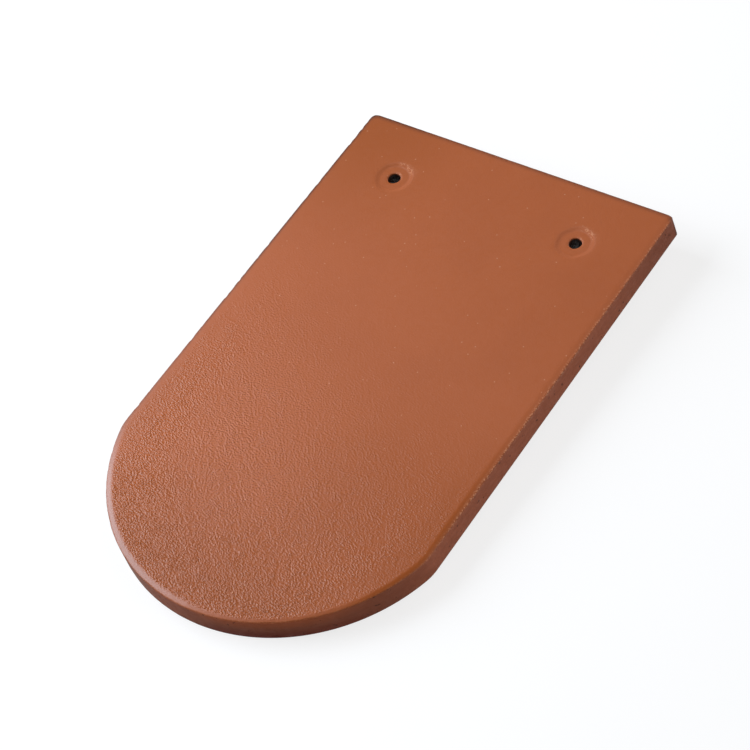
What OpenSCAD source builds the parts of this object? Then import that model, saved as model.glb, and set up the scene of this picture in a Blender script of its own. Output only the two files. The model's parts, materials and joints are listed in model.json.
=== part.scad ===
// Round-tailed plain roof tile in fired clay.
//
// A flat pressed slab that hangs head up on a roof batten. The lower end is rounded to a
// tail, two countersunk nail holes sit near the head, and two hanging nibs stand on the
// underside. The tile lies face up, as it does on a level floor: it leans on its nibs and
// on the tip of its tail. X runs across the tile and Y from the tail to the head.

/* [Slab] */
// Width across the straight flanks
tile_w = 165; // [135:1:200]
// Length from the tip of the tail to the head edge
tile_l = 265; // [200:1:420]
// Thickness of the slab
tile_t = 12; // [9:0.5:20]
// Depth of the round tail, from its tip to the shoulders where the flanks begin
tail_depth = 64.5; // [30:0.5:80]
// Radius of the two head corners, seen from above
head_corner_r = 2; // [0.5:0.5:8]

/* [Rolled edge] */
// Width of the roll along the edge of the face
roll_w = 3.2; // [2:0.1:8]
// Drop of the roll round the tail
roll_drop_tail = 1; // [0.6:0.1:2]
// Drop of the roll at the head, where it dies out along the flanks
roll_drop_head = 0.3; // [0.2:0.05:0.5]
// Width of the bevel that breaks the top edge of the head
head_break = 0.6; // [0.2:0.1:2]

/* [Nail holes] */
// Diameter of a nail hole
nail_d = 6; // [3:0.5:10]
// Distance of a nail hole from its flank
nail_from_flank = 33; // [20:0.5:45]
// Distance of a nail hole from the head edge
nail_from_head = 31; // [28:0.5:60]
// Diameter of the countersink at the face
sink_d = 18; // [15:0.5:24]
// Diameter of the countersink's flat floor
sink_floor_d = 14.5; // [11:0.5:17]
// Depth of the countersink
sink_depth = 0.6; // [0.4:0.1:3]

/* [Hanging nibs] */
// Width of a nib at its foot
nib_w = 22; // [12:1:36]
// How far a nib stands below the underside
nib_h = 9; // [6:0.5:14]
// Length of a nib along the tile
nib_l = 14; // [9:0.5:18]
// Distance of a nib from the head edge
nib_from_head = 4; // [1:0.5:8]
// Radius along the foot of a nib
nib_foot_r = 2.5; // [1:0.25:4]
// Draft of a nib's ends, in degrees
nib_draft = 12; // [2:1:20]

/* [Hidden] */
$fn = 120;
// Margin by which a cutter passes the faces that it cuts
over = 1;
// How far a roll's arc stands proud of the face, so that the two meet in a fine line
roll_lip = 0.005;

half_w = tile_w / 2;
// Radius of the tail, from its chord across the shoulders and its depth
tail_r = (half_w * half_w + tail_depth * tail_depth) / (2 * tail_depth);

// Radius of the arc that leaves the face level and drops by the given amount at the edge
function roll_r(drop) = (roll_w * roll_w + drop * drop) / (2 * drop);
roll_r_tail = roll_r(roll_drop_tail);
roll_r_head = roll_r(roll_drop_head);
// Where the flank's roll begins, just short of the point where it meets the tail's arc
roll_start_y = tail_r - sqrt(pow(tail_r, 2) - pow(half_w - roll_w, 2)) - over;
// Height of the crease between the roll and the side, round the tail
crease_z = tile_t - roll_drop_tail;

nail_x = half_w - nail_from_flank;
nail_y = tile_l - nail_from_head;

// The face of a nib that bears on the batten, and the root that fuses the nib to the slab
nib_y = tile_l - nib_from_head - nib_l;
nib_root = tile_t / 2;

// Lean of the tile, with the tip of its tail and the round edge of its nibs on the floor
foot_y = nib_y + nib_foot_r;
foot_drop = nib_h - nib_foot_r;
lean = atan2(foot_drop, foot_y) + asin(nib_foot_r / norm([foot_y, foot_drop]));
// Middle of the leaning tile, between the crease at its tail and the lower edge of its head
mid_y = (tile_l * cos(lean) - crease_z * sin(lean)) / 2;

// Plan of the slab: a straight bar with rounded head corners and a round tail
module slab_plan() {
    corner_x = half_w - head_corner_r;
    intersection() {
        union() {
            translate([-half_w, 0]) square([tile_w, tile_l - head_corner_r]);
            translate([-corner_x, 0]) square([2 * corner_x, tile_l]);
            for (x = [-corner_x, corner_x])
                translate([x, tile_l - head_corner_r]) circle(head_corner_r);
        }
        union() {
            translate([0, tail_r]) circle(tail_r);
            translate([-half_w - over, tail_r]) square([tile_w + 2 * over, tile_l]);
        }
    }
}

// What the roll takes off the edge of the tail: the corner over its arc, carried round
module tail_waste() {
    translate([0, tail_r, 0]) intersection() {
        rotate_extrude()
            translate([tail_r - roll_w, tile_t + roll_lip - roll_r_tail])
                difference() {
                    square([roll_w + over, roll_r_tail + over]);
                    circle(roll_r_tail);
                }
        translate([-2 * tail_r, -2 * tail_r, -tail_r]) cube([4 * tail_r, 2 * tail_r + over, 2 * tail_r]);
    }
}

// Body under the roll of the right flank: a cone that touches the face along the roll's inner
// edge and flattens towards the head
module flank_cone() {
    run = tile_l - roll_start_y;
    flare = asin((roll_r_head - roll_r_tail) / run);
    cone_l = run + tile_t;
    translate([half_w - roll_w, roll_start_y, tile_t + roll_lip])
        translate([0, -roll_r_tail * sin(flare), -roll_r_tail * cos(flare)])
            rotate([-90 - flare, 0, 0])
                cylinder(h = cone_l * cos(flare), r1 = roll_r_tail, r2 = roll_r_tail + cone_l * sin(flare));
}

// What the roll takes off the edge of the right flank
module flank_waste() {
    difference() {
        translate([half_w - roll_w, 0, tile_t - roll_r_tail])
            cube([roll_w + over, tile_l + over, roll_r_tail + over]);
        flank_cone();
    }
}

// The flat slab with its rolled edges
module rolled_slab() {
    difference() {
        linear_extrude(tile_t) slab_plan();
        tail_waste();
        flank_waste();
        mirror([1, 0, 0]) flank_waste();
    }
}

// Right nail hole with its countersink
module nail_hole() {
    slope = (sink_d - sink_floor_d) / sink_depth;
    translate([nail_x, nail_y, 0]) {
        translate([0, 0, -over]) cylinder(h = tile_t + 2 * over, d = nail_d);
        translate([0, 0, tile_t - sink_depth])
            cylinder(h = sink_depth + over, d1 = sink_floor_d, d2 = sink_d + over * slope);
    }
}

// Side view of a nib, from the batten face towards the head, with both foot edges rounded
module nib_profile() {
    profile_h = nib_root + nib_h;
    translate([0, nib_foot_r - nib_h]) square([nib_l, profile_h - nib_foot_r]);
    translate([nib_foot_r, -nib_h]) square([nib_l - 2 * nib_foot_r, profile_h]);
    for (y = [nib_foot_r, nib_l - nib_foot_r])
        translate([y, nib_foot_r - nib_h]) circle(nib_foot_r);
}

// End view of a nib, drafted to both ends
module nib_end_view() {
    root_half_w = nib_w / 2 + (nib_h + nib_root) * tan(nib_draft);
    polygon([
        [-nib_w / 2, -nib_h],
        [nib_w / 2, -nib_h],
        [root_half_w, nib_root],
        [-root_half_w, nib_root],
    ]);
}

// Right hanging nib, in line with the nail hole
module nib() {
    span = nib_w + 2 * (nib_h + nib_root);
    translate([nail_x, nib_y, 0]) intersection() {
        translate([-span / 2, 0, 0]) rotate([90, 0, 90]) linear_extrude(span) nib_profile();
        translate([0, nib_l + over, 0]) rotate([90, 0, 0]) linear_extrude(nib_l + 2 * over) nib_end_view();
    }
}

// What breaks the top edge of the head
module head_bevel() {
    translate([-half_w - over, tile_l, tile_t - head_break])
        rotate([45, 0, 0])
            cube([tile_w + 2 * over, 2 * head_break, 2 * head_break]);
}

// The fired tile, flat, with the tip of its tail at the origin
module flat_tile() {
    difference() {
        union() {
            rolled_slab();
            nib();
            mirror([1, 0, 0]) nib();
        }
        nail_hole();
        mirror([1, 0, 0]) nail_hole();
        head_bevel();
    }
}

module tile() {
    color("peru") translate([0, -mid_y, 0]) rotate([lean, 0, 0]) flat_tile();
}

tile();
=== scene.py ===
"""Dress the clay roof tile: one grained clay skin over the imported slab, on a white studio floor.

The skin is worked out in the flat tile's own millimetres, with X across the tile, Y from the tip
of the tail to the head and Z from the underside to the face. It is then leaned on its nibs and
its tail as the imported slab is.
"""

import json
import logging
import math
from dataclasses import dataclass
from enum import Enum

import bpy
import numpy as np
from mathutils import Matrix, Vector


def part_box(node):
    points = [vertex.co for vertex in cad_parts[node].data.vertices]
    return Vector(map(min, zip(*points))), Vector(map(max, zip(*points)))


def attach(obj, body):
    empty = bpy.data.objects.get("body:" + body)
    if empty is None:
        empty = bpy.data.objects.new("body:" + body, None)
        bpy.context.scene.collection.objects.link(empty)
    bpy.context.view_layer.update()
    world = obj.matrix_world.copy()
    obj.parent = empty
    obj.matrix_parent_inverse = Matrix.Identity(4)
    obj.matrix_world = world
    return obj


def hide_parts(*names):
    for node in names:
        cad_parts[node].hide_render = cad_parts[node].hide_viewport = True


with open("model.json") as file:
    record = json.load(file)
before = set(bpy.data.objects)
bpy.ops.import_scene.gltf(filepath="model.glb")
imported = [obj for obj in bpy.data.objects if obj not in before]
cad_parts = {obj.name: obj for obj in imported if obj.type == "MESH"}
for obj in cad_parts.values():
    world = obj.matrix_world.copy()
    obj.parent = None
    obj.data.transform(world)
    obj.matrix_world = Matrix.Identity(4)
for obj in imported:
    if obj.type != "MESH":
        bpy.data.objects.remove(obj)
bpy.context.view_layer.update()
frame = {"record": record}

Array = np.ndarray
Pair = tuple[float, float]
Triple = tuple[float, float, float]
Socket = bpy.types.NodeSocket
Feed = Socket | Triple | float
MM = 0.001
TINY = 1e-9
LOG = logging.getLogger("tile")


class Side(Enum):
    """The two halves of the tile, seen with its head up."""

    LEFT = "left"
    RIGHT = "right"


class Coat(Enum):
    """The tile's finishes, with their places among the mesh's materials."""

    FACE = 0
    SIDE = 1


def smooth_step(low: float, high: float, value: Array) -> Array:
    """Rise from 0 at low to 1 at high along the cubic 3t^2 - 2t^3.

    Args:
        low: Value where the rise begins.
        high: Value where the rise ends.
        value: Values to place on the rise.

    Returns:
        The heights on the rise, from 0 to 1.
    """
    t = np.clip((value - low) / (high - low), 0.0, 1.0)
    return t * t * (3.0 - 2.0 * t)


def mix(ends: Pair, share: Array) -> Array:
    """A value on the straight way between two ends: the first at share 0, the second at 1."""
    return ends[0] + (ends[1] - ends[0]) * share


def bell(distance: Array, width: Array | float) -> Array:
    """Soft peak that falls off as exp(-(d / w)^2) with the distance d."""
    return np.exp(-((distance / width) ** 2))


def lengths(vectors: Array) -> Array:
    """Lengths of plan vectors, kept just above 0 so that they can divide."""
    return np.maximum(np.hypot(vectors[..., 0], vectors[..., 1]), TINY)


def raised(plan: Array, height: Array | float) -> Array:
    """Points over a plan, all at one height or each at its own."""
    level = np.broadcast_to(height, plan.shape[:-1])
    return np.concatenate([plan, level[..., None]], axis=-1)


def ruled(keys: list[float], cells: tuple[int, ...]) -> Array:
    """Divide each stretch between key lines evenly.

    Args:
        keys: Places of the key lines.
        cells: Number of cells in each stretch.

    Returns:
        The places of all the lines.
    """
    parts = [np.linspace(a, b, n, endpoint=False) for a, b, n in zip(keys, keys[1:], cells)]
    return np.append(np.concatenate(parts), keys[-1])


def ring_of(grid: Array) -> Array:
    """Take the border of a grid, anticlockwise from its first corner.

    Args:
        grid: Grid of values or places, rows along Y and columns along X.

    Returns:
        The values along the border, each corner once.
    """
    return np.concatenate([grid[0, :-1], grid[:-1, -1], grid[-1, :0:-1], grid[:0:-1, 0]])


def direction(azimuth: float, elevation: float) -> Triple:
    """Direction away from the tile, as a unit vector.

    Args:
        azimuth: Degrees from the front of the tail towards the right flank.
        elevation: Degrees above the level.

    Returns:
        The direction.
    """
    around, up = math.radians(azimuth), math.radians(elevation)
    return math.sin(around) * math.cos(up), -math.cos(around) * math.cos(up), math.sin(up)


def put_in_scene(name: str, data: bpy.types.ID) -> bpy.types.Object:
    """Make an object at the origin and link it to the scene.

    Args:
        name: Name of the object.
        data: Its mesh, lamp or camera.

    Returns:
        The object.
    """
    made = bpy.data.objects.new(name, data)
    bpy.context.scene.collection.objects.link(made)
    return made


@dataclass(frozen=True)
class Zone:
    """A soft-edged part of the plan: the product of its rises across and along the tile.

    Each rise begins at its first place and is full at its second.
    """

    across: tuple[Pair, ...] = ()
    along: tuple[Pair, ...] = ()
    weight: float = 1.0

    def share(self, plan: Array) -> Array:
        """How far places lie in the zone.

        Args:
            plan: Places as X and Y, one a row.

        Returns:
            The zone's weight inside it, falling to 0 outside.
        """
        share = np.full(len(plan), self.weight)
        for axis, rises in enumerate((self.across, self.along)):
            for rise in rises:
                share = share * smooth_step(*rise, plan[:, axis])
        return share


@dataclass(frozen=True)
class ClayNoise:
    """Seeded random relief on a cubic lattice of the given pitch in millimetres."""

    seed: int
    pitch: Triple
    cells: int = 48

    def at(self, points: Array) -> Array:
        """Blend the random values at the eight corners of the lattice cell round each point.

        The weight of a corner is the product over the axes of s or 1 - s, where s is the cubic
        3t^2 - 2t^3 of the place t inside the cell.

        Args:
            points: Places in millimetres, one a row.

        Returns:
            One value from -1 to 1 for each place.
        """
        table = np.random.default_rng(self.seed).uniform(-1.0, 1.0, (self.cells,) * 3)
        scaled = points / np.array(self.pitch)
        corner = np.floor(scaled).astype(int)
        part = smooth_step(0.0, 1.0, scaled - corner)
        total = np.zeros(len(points))
        for step in np.ndindex(2, 2, 2):
            weight = np.where(np.array(step) == 1, part, 1.0 - part).prod(axis=1)
            cell = (corner + np.array(step)) % self.cells
            total += weight * table[cell[:, 0], cell[:, 1], cell[:, 2]]
        return total


class Patchwork:
    """Points and faces of one skin, gathered patch by patch.

    Rings run anticlockwise seen from above. A strip's faces look outwards when the rings are
    taken from the face over the edge to the underside, or up through a hole.
    """

    def __init__(self) -> None:
        """Start with no points and no faces."""
        self.points: list[Array] = []
        self.faces: list[Array] = []
        self.coats: list[Array] = []
        self.coat = Coat.FACE
        self.count = 0

    def add(self, points: Array) -> Array:
        """Store points and number them.

        Args:
            points: Array of points whose last axis is X, Y, Z.

        Returns:
            The points' numbers, in the layout of the array.
        """
        layout = points.shape[:-1]
        total = int(np.prod(layout))
        self.points.append(points.reshape(-1, 3))
        numbers = np.arange(self.count, self.count + total).reshape(layout)
        self.count += total
        return numbers

    def lay(self, faces: Array) -> None:
        """Store faces, which take the coat that is in hand.

        Args:
            faces: Point numbers of the faces, one face a row.
        """
        self.faces.append(faces)
        self.coats.append(np.full(len(faces), self.coat.value))

    def net(self, numbers: Array, kept: Array, looks_up: bool) -> None:
        """Fill the kept cells of a grid with quads.

        Args:
            numbers: Grid of point numbers, rows along Y and columns along X.
            kept: True for each cell that gets a face.
            looks_up: Whether the faces look up or down.
        """
        front, back = numbers[:-1], numbers[1:]
        corners = [front[:, :-1], front[:, 1:], back[:, 1:], back[:, :-1]]
        quads = np.stack(corners, axis=-1)[kept]
        self.lay(quads if looks_up else quads[:, ::-1])

    def strip(self, first: Array, second: Array) -> None:
        """Join two closed rings of equal length with quads.

        Args:
            first: Point numbers of the ring that comes first on the way round the edge.
            second: Point numbers of the next ring.
        """
        quads = [first, second, np.roll(second, -1), np.roll(first, -1)]
        self.lay(np.stack(quads, axis=-1))

    def taper(self, first: Array, second: Array) -> None:
        """Join two closed rings, one with a whole multiple of the other's points, with triangles.

        Each stretch of the coarse ring fans out over its points of the fine ring, half from each
        end of the stretch, with one triangle between the two fans.

        Args:
            first: Point numbers of the ring that comes first on the way round the edge.
            second: Point numbers of the next ring.
        """
        fine_first = len(first) > len(second)
        fine, coarse = (first, second) if fine_first else (second, first)
        ratio = len(fine) // len(coarse)
        half = ratio // 2
        places = np.arange(len(coarse))[:, None] * ratio + np.arange(ratio + 1)
        spans = np.append(fine, fine[0])[places]
        following = np.roll(coarse, -1)
        fans = [
            np.stack([coarse if i < half else following, spans[:, i], spans[:, i + 1]], axis=-1)
            for i in range(ratio)
        ]
        fans.append(np.stack([coarse, spans[:, half], following], axis=-1))
        triangles = np.concatenate(fans)
        self.lay(triangles[:, ::-1] if fine_first else triangles)

    def carry(self, ring: Array, points: Array) -> Array:
        """Add the next ring and join it to the last one.

        Args:
            ring: Point numbers of the last ring.
            points: Points of the next ring.

        Returns:
            Point numbers of the next ring.
        """
        following = self.add(points)
        join = self.strip if len(ring) == len(following) else self.taper
        join(ring, following)
        return following

    def all_points(self) -> Array:
        """All points in the order of their numbers."""
        return np.concatenate(self.points)

    def mesh(self, name: str, points: Array) -> bpy.types.Mesh:
        """Make a smooth Blender mesh of the gathered faces.

        Args:
            name: Name of the mesh.
            points: Final places of the points, in metres.

        Returns:
            The mesh.
        """
        made = bpy.data.meshes.new(name)
        faces = [face for patch in self.faces for face in patch.tolist()]
        made.from_pydata(points.tolist(), [], faces)
        made.polygons.foreach_set("use_smooth", np.ones(len(faces), dtype=bool))
        made.polygons.foreach_set("material_index", np.concatenate(self.coats).astype(np.int32))
        made.update()
        return made


@dataclass(frozen=True)
class Lean:
    """How the flat tile leans on the floor: turned about X, with the tip of its tail at tip_y."""

    angle: float
    tip_y: float

    @classmethod
    def from_underside(cls, mount: dict) -> "Lean":
        """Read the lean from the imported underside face.

        The face's normal gives the angle, and its plane meets the floor at the tip of the tail.

        Args:
            mount: The underside's record, with its place in metres and its axis.

        Returns:
            The lean of the tile.
        """
        _, place_y, place_z = mount["pos_m"]
        _, axis_y, axis_z = mount["axis"]
        angle = math.atan2(axis_y, -axis_z)
        return cls(angle, place_y - place_z / math.tan(angle))

    def turn(self, vectors: Array) -> Array:
        """Turn flat directions: y' = y cos - z sin and z' = y sin + z cos.

        Args:
            vectors: Directions on the flat tile, with X, Y and Z along the last axis.

        Returns:
            The directions on the leaning tile.
        """
        across, along, up = np.moveaxis(vectors, -1, 0)
        sine, cosine = math.sin(self.angle), math.cos(self.angle)
        return np.stack([across, along * cosine - up * sine, along * sine + up * cosine], axis=-1)

    def place(self, points: Array) -> Array:
        """Take flat points in millimetres to the floor's frame in metres."""
        return self.turn(points) * MM + np.array([0.0, self.tip_y, 0.0])

    def flat(self, point: Array) -> Array:
        """Take one point of the floor's frame in metres back to flat millimetres.

        Args:
            point: Place in metres.

        Returns:
            The place on the flat tile, in millimetres.
        """
        across, along, up = (point - np.array([0.0, self.tip_y, 0.0])) / MM
        sine, cosine = math.sin(self.angle), math.cos(self.angle)
        return np.array([across, along * cosine + up * sine, up * cosine - along * sine])


@dataclass(frozen=True)
class TilePlan:
    """Outline and rolled face of the tile, in flat millimetres.

    The left flank is drawn in and its roll worn down. The roll is narrower and lower on the
    front right of the tail.
    """

    half_w: float
    length: float
    thickness: float
    tail_depth: float = 64.5
    shoulder_r: float = 25.0
    corner_r: float = 1.2
    left_corner_r: float = 4.0
    left_draw: float = 0.7
    roll_w: float = 3.2
    roll_blend: float = 1.5
    roll_drop_tail: float = 1.0
    roll_drop_head: float = 0.3
    head_roll_w: float = 1.6
    head_drop: float = 0.9
    worn_left: float = 0.8
    front_narrow: float = 0.4
    front_low: float = 0.42
    left_flank: Zone = Zone(across=((-20.0, -60.0),), along=((25.0, 75.0),))
    front_right: Zone = Zone(across=((-10.0, 30.0),), along=((110.0, 20.0),))

    @property
    def tail_r(self) -> float:
        """Radius of the tail, from its chord across the shoulders and its depth."""
        return (self.half_w**2 + self.tail_depth**2) / (2.0 * self.tail_depth)

    def side_depth(self, plan: Array) -> tuple[Array, Array]:
        """Measure how deep points lie inside the flanks and the tail, the head left aside.

        The depth is the lesser of half_w - |x| and tail_r - |p - c|, with c the centre of the
        tail. Between the two, at the shoulder, it is shoulder_r - |p - s| round the centre s of
        an arc that touches both. The left flank is drawn in a little.

        Args:
            plan: Places as X and Y, one a row.

        Returns:
            The depths, and the outward directions as X and Y.
        """
        x, y = np.abs(plan[:, 0]), plan[:, 1]
        from_centre = np.stack([x, np.minimum(y - self.tail_r, 0.0)], axis=-1)
        reach = lengths(from_centre)
        flank, tail = self.half_w - x, self.tail_r - reach
        depth = np.minimum(flank, tail)
        on_flank = (flank < tail)[:, None]
        out = np.where(on_flank, np.array([1.0, 0.0]), from_centre / reach[:, None])
        centre_x = self.half_w - self.shoulder_r
        fall = math.sqrt((self.tail_r - self.shoulder_r) ** 2 - centre_x**2)
        away = np.stack([x - centre_x, y - (self.tail_r - fall)], axis=-1)
        span = lengths(away)
        in_shoulder = (away[:, 1] < 0.0) & (away[:, 0] * fall + away[:, 1] * centre_x > 0.0)
        depth = np.where(in_shoulder, self.shoulder_r - span, depth)
        out = np.where(in_shoulder[:, None], away / span[:, None], out)
        out[:, 0] *= np.where(plan[:, 0] < 0.0, -1.0, 1.0)
        return depth - self.left_draw * self.left_flank.share(plan), out

    def depth(self, plan: Array) -> tuple[Array, Array]:
        """Measure how deep points lie inside the whole outline, head and head corners included.

        Args:
            plan: Places as X and Y, one a row.

        Returns:
            The depths, and the outward directions as X and Y.
        """
        depth, out = self.side_depth(plan)
        head = self.length - plan[:, 1]
        nearer = head < depth
        out = np.where(nearer[:, None], np.array([0.0, 1.0]), out)
        depth = np.where(nearer, head, depth)
        on_left = plan[:, 0] < 0.0
        sign = np.where(on_left, -1.0, 1.0)
        radius = np.where(on_left, self.left_corner_r, self.corner_r)
        reach = self.half_w - np.where(on_left, self.left_draw, 0.0)
        away = np.stack([np.abs(plan[:, 0]) - reach + radius, radius - head], axis=-1)
        span = lengths(away)
        in_corner = (away > 0.0).all(axis=1)
        depth = np.where(in_corner, radius - span, depth)
        turned = away / span[:, None] * np.stack([sign, np.ones_like(sign)], axis=-1)
        return depth, np.where(in_corner[:, None], turned, out)

    def roll_width(self, plan: Array) -> Array:
        """Width of the roll, which narrows on the front right of the tail."""
        return self.roll_w * (1.0 - self.front_narrow * self.front_right.share(plan))

    def face_height(self, plan: Array) -> Array:
        """Height of the smooth face, rolled over along its edges.

        With e = w - d the way into a roll of width w at depth d, the roll drops as e^2 / 2b over
        its blend b and evenly from there on, down to its full drop at the edge. The full drop
        falls off as 1 / (1 + k s) with the share s of the flank up to the head, so that the roll
        dies out there. It is worn down along the left flank and lower on the front right.

        Args:
            plan: Places as X and Y, one a row.

        Returns:
            The heights above the underside.
        """
        way = np.clip((plan[:, 1] - self.tail_depth) / (self.length - self.tail_depth), 0.0, 1.0)
        full = self.roll_drop_tail / (1.0 + (self.roll_drop_tail / self.roll_drop_head - 1.0) * way)
        full *= 1.0 - self.worn_left * self.left_flank.share(plan)
        full *= 1.0 - self.front_low * self.front_right.share(plan)
        width = self.roll_width(plan)
        blend = self.roll_blend * width / self.roll_w
        into = np.clip(width - self.side_depth(plan)[0], 0.0, width)
        blended = np.minimum(into, blend)
        fall = blended**2 / (2.0 * blend) + into - blended
        drop = full * fall / (width - blend / 2.0)
        head = np.clip(1.0 - (self.length - plan[:, 1]) / self.head_roll_w, 0.0, None)
        return self.thickness - drop - self.head_drop * head**2

    def rim(self, inner: Array, columns: int, rows: int) -> tuple[Array, Array]:
        """Carry the border of the face's grid out to the outline.

        The tail's points keep their share of the arc, and those of the flanks and the head their
        share of the straight edge. The depth then draws them onto the rounded outline.

        Args:
            inner: Border of the grid as X and Y, anticlockwise from the left shoulder.
            columns: Cells of the grid across the tile.
            rows: Cells of the grid along the tile.

        Returns:
            The outline's points, and their outward directions, as X and Y.
        """
        tail, right, head, left = np.split(inner, np.cumsum([columns, rows, columns]))
        turn = np.arctan2(tail[:, 0], self.tail_r - tail[:, 1])
        turn *= math.asin(self.half_w / self.tail_r) / abs(turn[0])
        around = self.tail_r * np.stack([np.sin(turn), 1.0 - np.cos(turn)], axis=-1)
        low, high = right[0, 1], head[0, 1]
        scale = (self.length - self.tail_depth) / (high - low)
        flanks = []
        for sign, edge in ((1.0, right), (-1.0, left)):
            along = self.tail_depth + (edge[:, 1] - low) * scale
            flanks.append(np.stack([np.full_like(along, sign * self.half_w), along], axis=-1))
        across = head[:, 0] * self.half_w / head[0, 0]
        top = np.stack([across, np.full_like(across, self.length)], axis=-1)
        outline = np.concatenate([around, flanks[0], top, flanks[1]])
        depth, out = self.depth(outline)
        return outline + depth[:, None] * out, out


@dataclass(frozen=True)
class Block:
    """A rectangle of grid cells that a hole or a nib takes out of the face or the underside."""

    row: int
    column: int
    rows: int
    columns: int

    def coarser(self, step: int) -> "Block":
        """The same rectangle on a grid with cells step times as large."""
        return Block(self.row // step, self.column // step, self.rows // step, self.columns // step)

    def border(self, grid: Array) -> Array:
        """A grid's values along the rectangle's border, anticlockwise from its first corner."""
        last_row, last_column = self.row + self.rows, self.column + self.columns
        return ring_of(grid[self.row:last_row + 1, self.column:last_column + 1])

    def clear(self, kept: Array) -> None:
        """Mark the rectangle's cells as left open."""
        kept[self.row:self.row + self.rows, self.column:self.column + self.columns] = False


@dataclass(frozen=True)
class NailHole:
    """A round nail hole with a shallow dished countersink in the face.

    The bore's rings at its mouth and its lip are pairs of what they stand outside the bore's
    radius and of their distance from the underside or from the countersink's floor. The shaft is
    the pair of such distances where its even rings begin and end. The painted highlight on the
    rims lies towards a direction across and along the tile, where their slopes face the light.
    The other pairs are rises, which begin at the first number and are full at the second.
    """

    x: float
    y: float
    bore_r: float
    sink_r: float = 9.0
    sink_floor_r: float = 7.25
    sink_depth: float = 0.6
    soft: float = 0.5
    uneven: float = 0.28
    rim_noise: ClayNoise = ClayNoise(51, (3.1, 3.1, 3.1))
    wobble: float = 0.07
    bore_noise: ClayNoise = ClayNoise(41, (2.2, 2.2, 5.0))
    collar: float = 2.2
    mouth: tuple[Pair, ...] = ((0.9, 0.0), (0.3, 0.0), (0.06, 0.12), (0.0, 0.45))
    shaft: Pair = (2.4, 1.2)
    shaft_rings: int = 4
    lip: tuple[Pair, ...] = ((0.0, 0.4), (0.1, 0.12))
    lip_w: float = 0.4
    floor_radii: tuple[float, ...] = (4.2, 5.3, 6.3)
    slope_rings: int = 7
    border_shares: tuple[float, ...] = (0.33, 0.66)
    # painted highlight on the rims of the countersink and the bore, on the side whose slope faces
    # the light
    highlight_towards: Pair = (0.36, 0.933)
    highlight_rise: Pair = (0.72, 0.97)
    highlight_below: Pair = (0.9, 0.3)
    rim_inset: float = 0.6
    rim_spread: float = 1.0
    rim_share: float = 0.6
    lip_offset: float = 0.2
    lip_spread: float = 0.3
    lip_share: float = 0.8
    bore_edge: Pair = (0.3, 0.1)
    bore_below: Pair = (0.1, 0.8)

    def away(self, plan: Array) -> Array:
        """Ways from the hole's axis to places of the plan."""
        return plan - np.array([self.x, self.y])

    def sink(self, plan: Array) -> Array:
        """Depth of the countersink: a cubic step from its uneven rim down to its flat floor.

        Args:
            plan: Places as X and Y, one a row.

        Returns:
            The depths below the face.
        """
        reach = lengths(self.away(plan)) + self.uneven * self.rim_noise.at(raised(plan, 0.0))
        step = smooth_step(self.sink_r + self.soft, self.sink_floor_r - self.soft, reach)
        return self.sink_depth * step

    def slope(self, plan: Array) -> Array:
        """Share of the countersink's slope: 4s(1 - s) at the share s of its depth."""
        share = self.sink(plan) / self.sink_depth
        return 4.0 * share * (1.0 - share)

    def rubbed_and_highlight(self, plan: Array, below: Array) -> Array:
        """Share of painted highlight on the lit rims of the countersink and the bore.

        It falls off with the distance from either rim, and only the side towards the head has it.

        Args:
            plan: Places as X and Y, one a row.
            below: Depths under the face.

        Returns:
            The shares.
        """
        away = self.away(plan)
        reach = lengths(away)
        headward = smooth_step(*self.highlight_rise, away @ np.array(self.highlight_towards) / reach)
        rim = bell(reach - self.sink_r + self.rim_inset, self.rim_spread)
        lip = np.exp(-np.abs(reach - self.bore_r - self.lip_offset) / self.lip_spread)
        share = self.rim_share * rim + self.lip_share * lip
        return share * headward * smooth_step(*self.highlight_below, below - self.sink_depth)

    def inside(self, plan: Array, below: Array) -> Array:
        """Share of bore for painted shade: 1 in the hole, below its lip, and 0 elsewhere."""
        within = smooth_step(*self.bore_edge, lengths(self.away(plan)) - self.bore_r)
        return within * smooth_step(*self.bore_below, below - self.sink_depth)

    def ring(self, border: Array, radius: float) -> Array:
        """Points at one radius, each in the direction of a border point.

        Args:
            border: Border of the hole's rectangle as X and Y.
            radius: Distance from the hole's axis.

        Returns:
            The ring's points as X and Y.
        """
        away = self.away(border)
        return np.array([self.x, self.y]) + away * (radius / lengths(away))[:, None]

    def bore_rings(self, border: Array, thickness: float) -> list[Array]:
        """Rings of the bore, a little out of true, from the underside to the countersink.

        Noise stretches each ring from a circle of 1 mm outwards.

        Args:
            border: Border of the hole's rectangle as X and Y.
            thickness: Thickness of the tile.

        Returns:
            The rings' points.
        """
        floor = thickness - self.sink_depth
        low, high = self.shaft[0], floor - self.shaft[1]
        profile = list(self.mouth)
        profile += [(0.0, height) for height in np.linspace(low, high, self.shaft_rings)]
        profile += [(grown, floor - short) for grown, short in self.lip]
        core = self.ring(border, 1.0)
        rings = []
        for grown, height in profile:
            plan = self.ring(border, self.bore_r + grown)
            stretch = 1.0 + self.wobble * self.bore_noise.at(raised(plan, height))
            rings.append(raised(core + (plan - core) * stretch[:, None], height))
        return rings

    def sink_plans(self, border: Array) -> list[Array]:
        """Plans of the rings from the bore's lip over the countersink out to the border.

        Args:
            border: Border of the hole's rectangle as X and Y.

        Returns:
            The rings' points as X and Y.
        """
        ends = self.sink_floor_r - self.soft, self.sink_r + self.soft
        radii = [self.bore_r + self.lip_w, *self.floor_radii]
        radii += list(np.linspace(*ends, self.slope_rings))
        plans = [self.ring(border, radius) for radius in radii]
        rim = plans[-1]
        return plans + [rim + share * (border - rim) for share in self.border_shares]


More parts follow.
